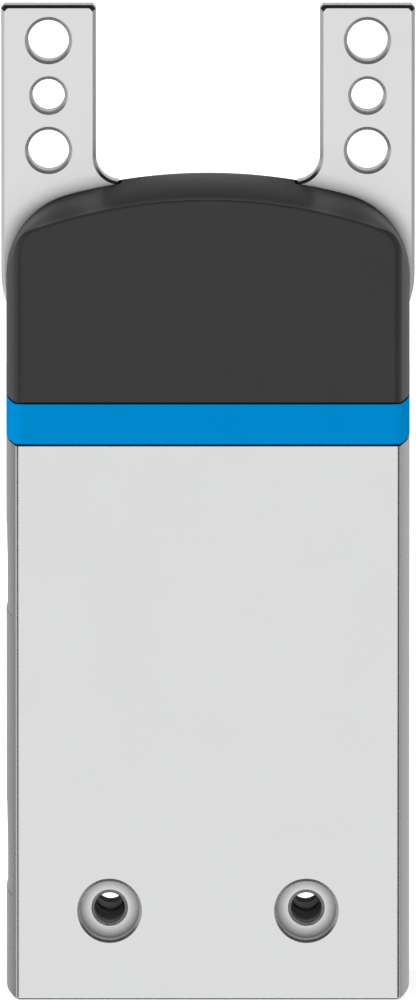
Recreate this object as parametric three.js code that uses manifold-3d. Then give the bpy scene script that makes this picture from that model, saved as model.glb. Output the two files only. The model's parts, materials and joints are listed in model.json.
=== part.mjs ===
// Two-jaw pneumatic radial gripper: each jaw swings 90 degrees outward.
//
// Frame: millimetres, +Z up, X across the width, the front is -Y.
// The origin is the middle of the underside. The gripper is shown closed,
// with the piston at the bottom of its stroke and both jaws upright.
//
// How it works: a double-acting piston lifts a forked crosshead. The crosshead
// carries two driver pins with rollers. Each roller runs in a curved slot in
// the root of a jaw, and so turns that jaw about its own pivot pin.

import * as THREE from 'three';
import { mergeVertices } from 'three/addons/utils/BufferGeometryUtils.js';
import Module from 'manifold-3d';

const wasm = await Module();
wasm.setup();

// ---------------------------------------------------------------- dimensions

// Outer form, shared by the housing, the band and the cover
const BODY = { halfWidth: 22.27, halfDepth: 15, sideRadius: 96 };
const METAL_CORNER = 0.5;
const MOULDED_CORNER = 0.9;
const HOUSING_TOP = 61;
const BAND_TOP = 65.7;
const COVER = {
  wall: 1.8,
  domeRadius: 60,
  domeCentreZ: 29.7,
  shoulderMiddle: 9.5,
  shoulderFront: 1.9,
};

// Jaw motion
const PIVOT = { x: 13, z: 79, pinRadius: 2, pinHalfLength: 7.5 };
const STROKE = 7.5;
const DRIVER_ARM = 5;
const DRIVER = { x: PIVOT.x - DRIVER_ARM, z: PIVOT.z - STROKE, pinRadius: 1, rollerRadius: 1.6 };

// Clearances, and how far a cutting tool runs past the face that it cuts
const RUNNING_GAP = 0.05;
const LOOSE_GAP = 0.1;
const STOP_GAP = 0.2;
const OVERCUT = 1;

// Jaws
const JAW = {
  halfThickness: 2.5,
  rootRadius: 9.75,
  hubRadius: 7,
  innerX: 12.33,
  top: 108.5,
  footX: 9.85,
  footZ: 89.05,
  footFillet: 2.7,
  holeX: 17.53,
  tipHoleZ: 104.6,
  holeSpacing: 6.05,
  holeRadius: 2.25,
  middleHoleRadius: 1.78,
  lobeWall: 1.3,
  tipChamfer: 0.3,
};
const JAW_SLOT = { halfWidth: 2.7, innerX: 9.55, bottom: 68.9 };

// Cylinder and piston
const BORE_RADIUS = 12.5;
const BORE_FLOOR = 13.3;
const GUIDE_SEAT = { radius: 13, z: 50.5 };
const RING_GROOVE = { radius: 13.8, bottom: 58, top: 59.1 };
const RETAINER = { inner: 11.6, springBack: 0.2, openingHalf: 3.2, openingY: -9 };
const BAND_OPENING = 7.6;
const ROD = { radius: 4, fitGap: 0.06, stubRadius: 2.5, stubTop: 66.8 };
const PISTON = { bottom: 15, top: 34, landRadius: 12.3, noseRadius: 11.3 };

// Fixings
const PORT = { lowerZ: 15.9, upperZ: 46.75, threadRadius: 2.1, spotRadius: 3.9, spotX: 21.9 };
const PORT_RECESS = { halfHeight: 4.8, halfDepth: 12.3, depth: 0.15 };
const MOUNT_HOLE = { x: 10.8, z: 9.8, radius: 1.65, counterbore: 3.55, depth: 3 };
const BASE_HOLE = { x: 10.8, radius: 1.65, depth: 6, sleeve: 3.55, sleeveDepth: 1.5 };
const TIE_SCREW = {
  x: 17.4,
  y: 10.7,
  shank: 1.25,
  head: 2.25,
  hole: 1.4,
  recess: 2.45,
  bottom: 0.5,
  seat: 3,
  tip: 74.2,
  socket: { radius: 1.15, depth: 1.2, sides: 6 },
};
const DOWEL = { x: 17, y: 5.5, radius: 1, bottom: 56.5, top: 68.3, endGap: 0.3 };
const SENSOR_SLOT = { x: 20, radius: 2, mouth: 1.45 };

// Bearing block inside the cover
const BLOCK = {
  flangeTop: 68.7,
  inset: 2.1,
  cheekX: 17.2,
  cheekY: 7.6,
  top: 84,
  topCorner: 3,
  channelX: 10.15,
  channelY: 5,
  jawGapY: 2.8,
};
const BUSH = { inner: 2.05, outer: 2.75, start: 5.1 };

// Smallest radii left on a form that is inset from the outside
const SMALLEST_CORNER = 0.2;
const SMALLEST_SHOULDER = 0.4;

// Sides of a round piece: the jaw roots, the turned and running fits, and small pins and holes
const FINE = 40;
const MEDIUM = 24;
const COARSE = 14;

// Vertices closer than this become one
const WELD = 1e-5;

// ------------------------------------------------------------------ helpers

function toSolid(geometry) {
  const bare = geometry.clone();
  bare.deleteAttribute('normal');
  bare.deleteAttribute('uv');
  const merged = mergeVertices(bare, WELD);
  return new wasm.Manifold(
    new wasm.Mesh({
      numProp: 3,
      vertProperties: new Float32Array(merged.attributes.position.array),
      triVerts: new Uint32Array(merged.index.array),
    }),
  );
}

function toGeometry(solid) {
  const mesh = solid.getMesh();
  const geometry = new THREE.BufferGeometry();
  geometry.setAttribute('position', new THREE.BufferAttribute(mesh.vertProperties, 3));
  geometry.setIndex(new THREE.BufferAttribute(mesh.triVerts, 1));
  geometry.computeVertexNormals();
  return geometry;
}

function box([x0, x1], [y0, y1], [z0, z1]) {
  const geometry = new THREE.BoxGeometry(x1 - x0, y1 - y0, z1 - z0);
  geometry.translate((x0 + x1) / 2, (y0 + y1) / 2, (z0 + z1) / 2);
  return toSolid(geometry);
}

// A cylinder along Z, Y or X through the point (x, y) across its axis.
function rodZ(radius, [x, y], [z0, z1], segments = MEDIUM) {
  const geometry = new THREE.CylinderGeometry(radius, radius, z1 - z0, segments);
  geometry.rotateX(Math.PI / 2);
  geometry.translate(x, y, (z0 + z1) / 2);
  return toSolid(geometry);
}

function rodY(radius, [x, z], [y0, y1], segments = MEDIUM) {
  const geometry = new THREE.CylinderGeometry(radius, radius, y1 - y0, segments);
  geometry.translate(x, (y0 + y1) / 2, z);
  return toSolid(geometry);
}

function rodX(radius, [y, z], [x0, x1], segments = MEDIUM) {
  const geometry = new THREE.CylinderGeometry(radius, radius, x1 - x0, segments);
  geometry.rotateZ(Math.PI / 2);
  geometry.translate((x0 + x1) / 2, y, z);
  return toSolid(geometry);
}

// A solid of revolution about the Z axis; the profile lists [radius, z] upward
// along the outside, and closes on itself or on the axis.
function turned(profile, segments = MEDIUM) {
  const geometry = new THREE.LatheGeometry(
    profile.map(([r, z]) => new THREE.Vector2(r, z)),
    segments,
  );
  geometry.rotateX(Math.PI / 2);
  return toSolid(geometry);
}

function ring(inner, outer, [z0, z1], segments = MEDIUM) {
  return turned([[inner, z0], [outer, z0], [outer, z1], [inner, z1], [inner, z0]], segments);
}

// An outline in the XY plane raised from z0 to z1.
function column(shape, [z0, z1], curveSegments = 3) {
  const settings = { depth: z1 - z0, bevelEnabled: false, curveSegments };
  const geometry = new THREE.ExtrudeGeometry(shape, settings);
  geometry.translate(0, 0, z0);
  return toSolid(geometry);
}

// An outline in the XZ plane, extruded through the depth from y0 to y1.
function slab(shape, [y0, y1], curveSegments = 6) {
  const settings = { depth: y1 - y0, bevelEnabled: false, curveSegments };
  const geometry = new THREE.ExtrudeGeometry(shape, settings);
  geometry.rotateX(Math.PI / 2);
  geometry.translate(0, y1, 0);
  return toSolid(geometry);
}

// The outline of a round tool drawn along a path.
function strokeShape(path, radius) {
  const headingAt = (i) => {
    const before = path[Math.max(i - 1, 0)];
    const after = path[Math.min(i + 1, path.length - 1)];
    return Math.atan2(after.y - before.y, after.x - before.x);
  };
  const offset = (point, angle) =>
    new THREE.Vector2(point.x + radius * Math.cos(angle), point.y + radius * Math.sin(angle));
  const cap = (point, start) => {
    const steps = 10;
    return Array.from({ length: steps - 1 }, (_, i) =>
      offset(point, start + (Math.PI * (i + 1)) / steps));
  };
  const quarter = Math.PI / 2;
  const last = path.length - 1;
  const right = path.map((point, i) => offset(point, headingAt(i) - quarter));
  const left = path.map((point, i) => offset(point, headingAt(i) + quarter)).reverse();
  return new THREE.Shape([
    ...right,
    ...cap(path[last], headingAt(last) - quarter),
    ...left,
    ...cap(path[0], headingAt(0) + quarter),
  ]);
}

const both = (value) => [-value, value];
const handed = (hand, [near, far]) => (hand < 0 ? [-far, -near] : [near, far]);
const SIDES = [['left', -1], ['right', 1]];
const DEPTHS = [['front', -1], ['rear', 1]];

function joined(solids) {
  return solids.reduce((whole, piece) => whole.add(piece));
}

// ------------------------------------------------------------ shared outlines

// The plan of the body: flat front and back, gently bulged narrow sides.
function planShape(cornerRadius, inset = 0) {
  const halfDepth = BODY.halfDepth - inset;
  const sideRadius = BODY.sideRadius - inset;
  const corner = Math.max(cornerRadius - inset, SMALLEST_CORNER);
  const sideCentre = BODY.halfWidth - BODY.sideRadius;
  const rise = halfDepth - corner;
  const reach = Math.sqrt((sideRadius - corner) ** 2 - rise ** 2);
  const cornerX = sideCentre + reach;
  const tilt = Math.atan2(rise, reach);
  const shape = new THREE.Shape();
  shape.absarc(sideCentre, 0, sideRadius, -tilt, tilt, false);
  shape.absarc(cornerX, rise, corner, tilt, Math.PI / 2, false);
  shape.absarc(-cornerX, rise, corner, Math.PI / 2, Math.PI - tilt, false);
  shape.absarc(-sideCentre, 0, sideRadius, Math.PI - tilt, Math.PI + tilt, false);
  shape.absarc(-cornerX, -rise, corner, Math.PI + tilt, Math.PI * 1.5, false);
  shape.absarc(cornerX, -rise, corner, -Math.PI / 2, -tilt, false);
  return shape;
}

// The pillow form of the cover: a domed top that rolls over into the narrow
// sides, with a large shoulder at mid-depth and a small one at the front.
function pillow(inset, bottom, columns, rows) {
  const shoulderColumns = columns / 4;
  const domeColumns = columns - 2 * shoulderColumns;
  const halfDepth = BODY.halfDepth - inset;

  const sectionPoint = (index, y) => {
    const side = BODY.halfWidth - BODY.sideRadius + Math.sqrt((BODY.sideRadius - inset) ** 2 - y * y);
    const bulge = 1 - (y / halfDepth) ** 2;
    const roundness = COVER.shoulderFront + (COVER.shoulderMiddle - COVER.shoulderFront) * bulge;
    const shoulder = Math.max(roundness - inset, SMALLEST_SHOULDER);
    const dome = Math.sqrt((COVER.domeRadius - inset) ** 2 - y * y);
    const centreX = side - shoulder;
    const centreZ = COVER.domeCentreZ + Math.sqrt((dome - shoulder) ** 2 - centreX ** 2);
    const blendAngle = Math.acos(centreX / (dome - shoulder));
    const step = Math.min(index, columns - index);
    const hand = index * 2 < columns ? -1 : 1;
    if (step < shoulderColumns) {
      const angle = (blendAngle * step) / shoulderColumns;
      return [hand * (centreX + shoulder * Math.cos(angle)), centreZ + shoulder * Math.sin(angle)];
    }
    const tangentX = dome * Math.cos(blendAngle);
    const x = tangentX * ((2 * (index - shoulderColumns)) / domeColumns - 1);
    return [x, COVER.domeCentreZ + Math.sqrt(dome * dome - x * x)];
  };

  const geometry = new THREE.BoxGeometry(2, 2, 2, columns, rows, 1);
  const position = geometry.attributes.position;
  for (let i = 0; i < position.count; i += 1) {
    const index = Math.round(((position.getX(i) + 1) / 2) * columns);
    const y = position.getY(i) * halfDepth;
    const [x, top] = sectionPoint(index, y);
    position.setXYZ(i, x, y, position.getZ(i) > 0 ? top : bottom);
  }
  return toSolid(geometry);
}

function tieScrewPoints() {
  return SIDES.flatMap(([, hand]) => DEPTHS.map(([, face]) => [hand * TIE_SCREW.x, face * TIE_SCREW.y]));
}

function dowelPoints() {
  return [[-DOWEL.x, DOWEL.y], [DOWEL.x, -DOWEL.y]];
}

function tieScrewHoles(span) {
  return joined(tieScrewPoints().map((point) => rodZ(TIE_SCREW.hole, point, span, COARSE)));
}

function dowelHoles(span) {
  return joined(dowelPoints().map((point) => rodZ(DOWEL.radius + RUNNING_GAP, point, span, COARSE)));
}

// ---------------------------------------------------------------- fixed parts

function housing() {
  const boreTool = turned([
    [0, BORE_FLOOR],
    [BORE_RADIUS, BORE_FLOOR],
    [BORE_RADIUS, GUIDE_SEAT.z],
    [GUIDE_SEAT.radius, GUIDE_SEAT.z],
    [GUIDE_SEAT.radius, RING_GROOVE.bottom],
    [RING_GROOVE.radius, RING_GROOVE.bottom],
    [RING_GROOVE.radius, RING_GROOVE.top],
    [GUIDE_SEAT.radius, RING_GROOVE.top],
    [GUIDE_SEAT.radius, HOUSING_TOP + OVERCUT],
    [0, HOUSING_TOP + OVERCUT],
  ]);
  let body = column(planShape(METAL_CORNER), [0, HOUSING_TOP]).subtract(boreTool);
  const outside = BODY.halfWidth + OVERCUT;
  const inBore = BORE_RADIUS - OVERCUT;

  for (const z of [PORT.lowerZ, PORT.upperZ]) {
    const zone = [z - PORT_RECESS.halfHeight, z + PORT_RECESS.halfHeight];
    const skin = box([-outside, -BORE_RADIUS], both(PORT_RECESS.halfDepth), zone);
    const recess = skin.subtract(column(planShape(METAL_CORNER, PORT_RECESS.depth), [0, HOUSING_TOP]));
    body = body
      .subtract(recess)
      .subtract(rodX(PORT.spotRadius, [0, z], [-outside, -PORT.spotX]))
      .subtract(rodX(PORT.threadRadius, [0, z], [-outside, -inBore], COARSE));
  }

  for (const [, hand] of SIDES) {
    const across = [hand * MOUNT_HOLE.x, MOUNT_HOLE.z];
    body = body.subtract(rodY(MOUNT_HOLE.radius, across, both(BODY.halfDepth + OVERCUT), COARSE));
    for (const [, face] of DEPTHS) {
      const floor = BODY.halfDepth - MOUNT_HOLE.depth;
      const span = handed(face, [floor, BODY.halfDepth + OVERCUT]);
      body = body.subtract(rodY(MOUNT_HOLE.counterbore, across, span));
    }
    const below = [hand * BASE_HOLE.x, 0];
    body = body
      .subtract(rodZ(BASE_HOLE.radius, below, [-OVERCUT, BASE_HOLE.depth], COARSE))
      .subtract(rodZ(BASE_HOLE.sleeve, below, [-OVERCUT, BASE_HOLE.sleeveDepth]));
  }

  for (const point of tieScrewPoints()) {
    body = body.subtract(rodZ(TIE_SCREW.recess, point, [-OVERCUT, TIE_SCREW.seat], COARSE));
  }
  const wholeHeight = [-OVERCUT, HOUSING_TOP + OVERCUT];
  return body
    .subtract(tieScrewHoles(wholeHeight))
    .subtract(dowelHoles([DOWEL.bottom - DOWEL.endGap, HOUSING_TOP + OVERCUT]))
    .subtract(rodZ(SENSOR_SLOT.radius, [SENSOR_SLOT.x, 0], wholeHeight, COARSE))
    .subtract(box([SENSOR_SLOT.x, outside], both(SENSOR_SLOT.mouth), wholeHeight));
}

function spacerBand() {
  const span = [HOUSING_TOP - OVERCUT, BAND_TOP + OVERCUT];
  return column(planShape(MOULDED_CORNER), [HOUSING_TOP, BAND_TOP])
    .subtract(rodZ(BAND_OPENING, [0, 0], span))
    .subtract(tieScrewHoles(span))
    .subtract(dowelHoles(span));
}

// The moulded cover, hollow, with four corner bosses for the threaded inserts.
const BOSS = { innerX: 14.6, innerY: 7.9, bottom: 69, top: 75.6, bore: 1.95, boreTop: 75 };
const INSERT = { inner: 1.3, outer: 1.85, bottom: 69.3, top: 74.8 };

function cover() {
  const height = COVER.domeCentreZ + COVER.domeRadius;
  const rounded = column(planShape(MOULDED_CORNER), [BAND_TOP, height]);
  const outer = pillow(0, BAND_TOP, 24, 8).intersect(rounded);
  const hollow = pillow(COVER.wall, BAND_TOP - OVERCUT, 12, 4);
  const bosses = joined(tieScrewPoints().map(([x, y]) => {
    const spanX = handed(Math.sign(x), [BOSS.innerX, BODY.halfWidth]);
    const spanY = handed(Math.sign(y), [BOSS.innerY, BODY.halfDepth]);
    return box(spanX, spanY, [BOSS.bottom, BOSS.top]);
  }));
  let shell = outer.subtract(hollow.subtract(bosses));
  for (const point of tieScrewPoints()) {
    shell = shell.subtract(rodZ(BOSS.bore, point, [BOSS.bottom - OVERCUT, BOSS.boreTop], COARSE));
  }
  for (const [, hand] of SIDES) {
    const span = handed(hand, [JAW_SLOT.innerX, BODY.halfWidth + OVERCUT]);
    shell = shell.subtract(box(span, both(JAW_SLOT.halfWidth), [JAW_SLOT.bottom, height]));
  }
  return shell;
}

// The block that carries the pivot pins, standing on the band inside the cover.
function bearingBlock() {
  const chamferX = BLOCK.cheekX - BLOCK.topCorner;
  const chamferZ = BLOCK.top - BLOCK.topCorner;
  const cheek = new THREE.Shape([
    new THREE.Vector2(-BLOCK.cheekX, BAND_TOP),
    new THREE.Vector2(BLOCK.cheekX, BAND_TOP),
    new THREE.Vector2(BLOCK.cheekX, chamferZ),
    new THREE.Vector2(chamferX, BLOCK.top),
    new THREE.Vector2(-chamferX, BLOCK.top),
    new THREE.Vector2(-BLOCK.cheekX, chamferZ),
  ]);
  const below = BAND_TOP - OVERCUT;
  const above = BLOCK.top + OVERCUT;
  let block = column(planShape(MOULDED_CORNER, BLOCK.inset), [BAND_TOP, BLOCK.flangeTop])
    .add(slab(cheek, both(BLOCK.cheekY)))
    .subtract(box(both(BLOCK.channelX), both(BLOCK.channelY), [below, above]))
    .subtract(box(both(BODY.halfWidth), both(BLOCK.jawGapY), [BLOCK.flangeTop, above]))
    .subtract(tieScrewHoles([below, BLOCK.flangeTop + OVERCUT]))
    .subtract(dowelHoles([below, DOWEL.top + STOP_GAP]));
  for (const [, hand] of SIDES) {
    const axis = [hand * PIVOT.x, PIVOT.z];
    block = block.subtract(rodY(PIVOT.pinRadius + LOOSE_GAP, axis, both(BLOCK.cheekY + OVERCUT)));
    for (const [, face] of DEPTHS) {
      const span = handed(face, [BUSH.start - RUNNING_GAP, BLOCK.cheekY + OVERCUT]);
      block = block.subtract(rodY(BUSH.outer + RUNNING_GAP, axis, span));
    }
  }
  return block;
}

function pivotBush(hand, face) {
  const span = handed(face, [BUSH.start, BLOCK.cheekY]);
  const axis = [hand * PIVOT.x, PIVOT.z];
  const through = both(BLOCK.cheekY + OVERCUT);
  return rodY(BUSH.outer, axis, span).subtract(rodY(BUSH.inner, axis, through));
}

// A long socket screw from the underside, through to the insert in the cover.
function tieScrew(point) {
  const { bottom, seat, tip, socket } = TIE_SCREW;
  const shankStart = (bottom + seat) / 2;
  return rodZ(TIE_SCREW.head, point, [bottom, seat], COARSE)
    .add(rodZ(TIE_SCREW.shank, point, [shankStart, tip], COARSE))
    .subtract(rodZ(socket.radius, point, [bottom - OVERCUT, bottom + socket.depth], socket.sides));
}

function coverInsert(point) {
  return rodZ(INSERT.outer, point, [INSERT.bottom, INSERT.top], COARSE)
    .subtract(rodZ(INSERT.inner, point, [INSERT.bottom - OVERCUT, INSERT.top + OVERCUT], COARSE));
}

const GUIDE = { bottom: 43.5, top: 57.7, nose: 10.5, flange: 12.9, groove: 11.2 };
const ROD_BUSH = { outer: 5, bottom: 44.6, top: 52.4 };
const ROD_SEAL = { outer: 6.5, bottom: 54.1, top: 57.5 };
const GUIDE_GROOVE = { bottom: 53.2, top: 55.4 };

// The cartridge that closes the cylinder and guides the piston rod.
function rodGuide() {
  const rodGap = ROD.radius + LOOSE_GAP;
  const bushSeat = ROD_BUSH.outer + RUNNING_GAP;
  const sealSeat = ROD_SEAL.outer + RUNNING_GAP;
  const shoulder = GUIDE_SEAT.z + RUNNING_GAP;
  return turned([
    [bushSeat, GUIDE.bottom],
    [GUIDE.nose, GUIDE.bottom],
    [GUIDE.nose, shoulder],
    [GUIDE.flange, shoulder],
    [GUIDE.flange, GUIDE_GROOVE.bottom],
    [GUIDE.groove, GUIDE_GROOVE.bottom],
    [GUIDE.groove, GUIDE_GROOVE.top],
    [GUIDE.flange, GUIDE_GROOVE.top],
    [GUIDE.flange, GUIDE.top],
    [sealSeat, GUIDE.top],
    [sealSeat, ROD_SEAL.bottom - LOOSE_GAP],
    [rodGap, ROD_SEAL.bottom - LOOSE_GAP],
    [rodGap, ROD_BUSH.top + LOOSE_GAP],
    [bushSeat, ROD_BUSH.top + LOOSE_GAP],
    [bushSeat, GUIDE.bottom],
  ]);
}

// An internal circlip: an open ring that springs into the housing's groove.
function retainingRing() {
  const bottom = RING_GROOVE.bottom + LOOSE_GAP;
  const top = RING_GROOVE.top - LOOSE_GAP;
  const opening = box(
    both(RETAINER.openingHalf),
    [-RING_GROOVE.radius - OVERCUT, RETAINER.openingY],
    [bottom - OVERCUT, top + OVERCUT],
  );
  return ring(RETAINER.inner, RING_GROOVE.radius - RETAINER.springBack, [bottom, top]).subtract(opening);
}

// --------------------------------------------------------------- piston parts

const GROOVE = {
  lowerSeal: { radius: 10, bottom: 19.4, top: 21.8 },
  magnet: { radius: 9, bottom: 23.2, top: 26.4 },
  guide: { radius: 11.2, bottom: 27.2, top: 30 },
  upperSeal: { radius: 10, bottom: 30.7, top: 33.1 },
};
const LAND_BOTTOM = 18.7;
const SPIGOT = { radius: 3, bottom: 15.6 };
const NUT = { recess: 6.2, recessTop: 18.5, bottom: 15.4, top: 18.3, corner: 5.6 };
const FORK = { hubX: 3.6, halfDepth: 4.7, bottom: 62, floor: 67.2, armRadius: 1.9, slotHalf: 2.8 };
const ROLLER_HALF_LENGTH = 2.35;
const GUIDE_RING_GAP = 0.08;
const BUMPER = { lower: { inner: 6.6, outer: 11 }, upper: { inner: 5.2, outer: 10.3 } };

function piston() {
  const land = PISTON.landRadius;
  const grooveSteps = Object.values(GROOVE).flatMap(({ radius, bottom, top }) => [
    [land, bottom],
    [radius, bottom],
    [radius, top],
    [land, top],
  ]);
  const hole = SPIGOT.radius + RUNNING_GAP;
  return turned([
    [NUT.recess, PISTON.bottom],
    [PISTON.noseRadius, PISTON.bottom],
    [PISTON.noseRadius, LAND_BOTTOM],
    [land, LAND_BOTTOM],
    ...grooveSteps.slice(0, -1),
    [PISTON.noseRadius, GROOVE.upperSeal.top],
    [PISTON.noseRadius, PISTON.top],
    [hole, PISTON.top],
    [hole, NUT.recessTop],
    [NUT.recess, NUT.recessTop],
    [NUT.recess, PISTON.bottom],
  ]);
}

function grooveRing({ radius, bottom, top }, outer) {
  return ring(radius + RUNNING_GAP, outer, [bottom + LOOSE_GAP, top - LOOSE_GAP]);
}

function pistonNut() {
  return rodZ(NUT.corner, [0, 0], [NUT.bottom, NUT.top], 6)
    .subtract(rodZ(SPIGOT.radius + RUNNING_GAP, [0, 0], [NUT.bottom - OVERCUT, NUT.top + OVERCUT]));
}

function pistonRod() {
  return turned([
    [0, SPIGOT.bottom],
    [SPIGOT.radius, SPIGOT.bottom],
    [SPIGOT.radius, PISTON.top],
    [ROD.radius, PISTON.top],
    [ROD.radius, FORK.bottom],
    [ROD.stubRadius, FORK.bottom],
    [ROD.stubRadius, ROD.stubTop],
    [0, ROD.stubTop],
  ]);
}

// The fork on top of the rod: a hub, and two plates that straddle the jaws.
function crosshead() {
  const through = both(FORK.halfDepth + OVERCUT);
  const stubHole = ROD.stubRadius + RUNNING_GAP;
  const arms = [DRIVER.z - FORK.armRadius, DRIVER.z + FORK.armRadius];
  let fork = box(both(FORK.hubX), both(FORK.halfDepth), [FORK.bottom, DRIVER.z])
    .add(box(both(DRIVER.x), both(FORK.halfDepth), arms));
  for (const [, hand] of SIDES) {
    fork = fork.add(rodY(FORK.armRadius, [hand * DRIVER.x, DRIVER.z], both(FORK.halfDepth), COARSE));
  }
  fork = fork
    .subtract(box(both(BODY.halfWidth), both(FORK.slotHalf), [FORK.floor, BLOCK.top]))
    .subtract(rodZ(stubHole, [0, 0], [FORK.bottom - OVERCUT, FORK.floor + OVERCUT]));
  for (const [, hand] of SIDES) {
    const hole = DRIVER.pinRadius + RUNNING_GAP;
    fork = fork.subtract(rodY(hole, [hand * DRIVER.x, DRIVER.z], through, COARSE));
  }
  return fork;
}

function driverPin(hand) {
  return rodY(DRIVER.pinRadius, [hand * DRIVER.x, DRIVER.z], both(FORK.halfDepth), COARSE);
}

function driverRoller(hand) {
  const axis = [hand * DRIVER.x, DRIVER.z];
  const through = both(ROLLER_HALF_LENGTH + OVERCUT);
  return rodY(DRIVER.rollerRadius, axis, both(ROLLER_HALF_LENGTH), COARSE)
    .subtract(rodY(DRIVER.pinRadius + RUNNING_GAP, axis, through, COARSE));
}

// ------------------------------------------------------------------------ jaws

// The roller's path as the jaw sees it. The roller rises in a straight line
// while the jaw turns by an angle in proportion, so the slot that keeps the
// two in step is that straight line turned back by the jaw's angle.
function rollerPath(hand) {
  const steps = 12;
  return Array.from({ length: steps + 1 }, (_, i) => {
    const turn = (Math.PI / 2) * (i / steps);
    const height = -STROKE * (1 - i / steps);
    const across = DRIVER_ARM * Math.cos(turn) + height * Math.sin(turn);
    const up = -DRIVER_ARM * Math.sin(turn) + height * Math.cos(turn);
    return new THREE.Vector2(hand * (PIVOT.x - across), PIVOT.z + up);
  });
}

function finger(hand) {
  const outer = PIVOT.x + JAW.rootRadius;
  const edge = JAW.tipChamfer;
  const filletZ = JAW.footZ + JAW.footFillet;
  const shape = new THREE.Shape();
  shape.moveTo(hand * outer, PIVOT.z);
  shape.lineTo(hand * outer, JAW.top - edge);
  shape.lineTo(hand * (outer - edge), JAW.top);
  shape.lineTo(hand * (JAW.innerX + edge), JAW.top);
  shape.lineTo(hand * JAW.innerX, JAW.top - edge);
  shape.lineTo(hand * JAW.innerX, filletZ);
  const centreX = JAW.innerX - JAW.footFillet;
  const steps = 6;
  const lastTurn = Math.acos((JAW.footX - centreX) / JAW.footFillet);
  for (let i = 1; i <= steps; i += 1) {
    const turn = (lastTurn * i) / steps;
    const x = centreX + JAW.footFillet * Math.cos(turn);
    shape.lineTo(hand * x, filletZ - JAW.footFillet * Math.sin(turn));
  }
  shape.lineTo(hand * JAW.footX, PIVOT.z);
  return slab(shape, both(JAW.halfThickness));
}

function jaw(hand) {
  const thickness = both(JAW.halfThickness);
  const through = both(JAW.halfThickness + OVERCUT);
  const slotRadius = DRIVER.rollerRadius + LOOSE_GAP;
  const path = rollerPath(hand);
  const pivot = [hand * PIVOT.x, PIVOT.z];
  const reach = JAW.rootRadius + OVERCUT;
  const outerHalf = handed(hand, [JAW.footX, PIVOT.x + reach]);
  const root = rodY(JAW.rootRadius, pivot, thickness, FINE)
    .intersect(box(outerHalf, through, [PIVOT.z - reach, PIVOT.z + reach]));
  let solid = finger(hand)
    .add(root)
    .add(rodY(JAW.hubRadius, pivot, thickness, MEDIUM))
    .add(slab(strokeShape(path, slotRadius + JAW.lobeWall), thickness))
    .subtract(slab(strokeShape(path, slotRadius), through))
    .subtract(rodY(PIVOT.pinRadius + RUNNING_GAP, pivot, through));
  const holes = [JAW.holeRadius, JAW.middleHoleRadius, JAW.holeRadius];
  holes.forEach((radius, i) => {
    const centre = [hand * JAW.holeX, JAW.tipHoleZ - i * JAW.holeSpacing];
    solid = solid.subtract(rodY(radius, centre, through));
  });
  return solid;
}

function pivotPin(hand) {
  return rodY(PIVOT.pinRadius, [hand * PIVOT.x, PIVOT.z], both(PIVOT.pinHalfLength));
}

// -------------------------------------------------------------------- assembly

const FINISH = {
  anodised: { color: '#cfd0d1', roughness: 0.45, metalness: 0.6 },
  ground: { color: '#d4d4d3', roughness: 0.3, metalness: 0.8 },
  steel: { color: '#9a9c9e', roughness: 0.3, metalness: 0.9 },
  darkPlastic: { color: '#3c3e3d', roughness: 0.55, metalness: 0 },
  bluePlastic: { color: '#0086cb', roughness: 0.4, metalness: 0 },
  slidingPlastic: { color: '#c9bfa8', roughness: 0.6, metalness: 0 },
  rubber: { color: '#1a1a1a', roughness: 0.8, metalness: 0 },
  magnet: { color: '#45474a', roughness: 0.5, metalness: 0.6 },
  brass: { color: '#b9994c', roughness: 0.35, metalness: 0.9 },
};

const gripper = new THREE.Group();

function addPiece(name, solid, finish) {
  const mesh = new THREE.Mesh(toGeometry(solid), new THREE.MeshStandardMaterial(FINISH[finish]));
  mesh.name = name;
  gripper.add(mesh);
}

addPiece('housing', housing(), 'anodised');
addPiece('spacer_band', spacerBand(), 'bluePlastic');
addPiece('cover', cover(), 'darkPlastic');
addPiece('bearing_block', bearingBlock(), 'anodised');

for (const [side, hand] of SIDES) {
  addPiece(`${side}_jaw`, jaw(hand), 'ground');
  addPiece(`${side}_pivot_pin`, pivotPin(hand), 'steel');
  addPiece(`${side}_driver_pin`, driverPin(hand), 'steel');
  addPiece(`${side}_driver_roller`, driverRoller(hand), 'steel');
  for (const [depth, face] of DEPTHS) {
    addPiece(`pivot_bush_${side}_${depth}`, pivotBush(hand, face), 'slidingPlastic');
    const point = [hand * TIE_SCREW.x, face * TIE_SCREW.y];
    addPiece(`tie_screw_${side}_${depth}`, tieScrew(point), 'steel');
    addPiece(`cover_insert_${side}_${depth}`, coverInsert(point), 'brass');
  }
}

addPiece('crosshead', crosshead(), 'steel');
addPiece('piston_rod', pistonRod(), 'steel');
addPiece('piston', piston(), 'anodised');
addPiece('piston_nut', pistonNut(), 'steel');
addPiece('piston_seal_lower', grooveRing(GROOVE.lowerSeal, BORE_RADIUS - RUNNING_GAP), 'rubber');
addPiece('piston_seal_upper', grooveRing(GROOVE.upperSeal, BORE_RADIUS - RUNNING_GAP), 'rubber');
addPiece('piston_guide_ring', grooveRing(GROOVE.guide, BORE_RADIUS - GUIDE_RING_GAP), 'slidingPlastic');
addPiece('piston_magnet', grooveRing(GROOVE.magnet, PISTON.landRadius - STOP_GAP), 'magnet');

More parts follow.
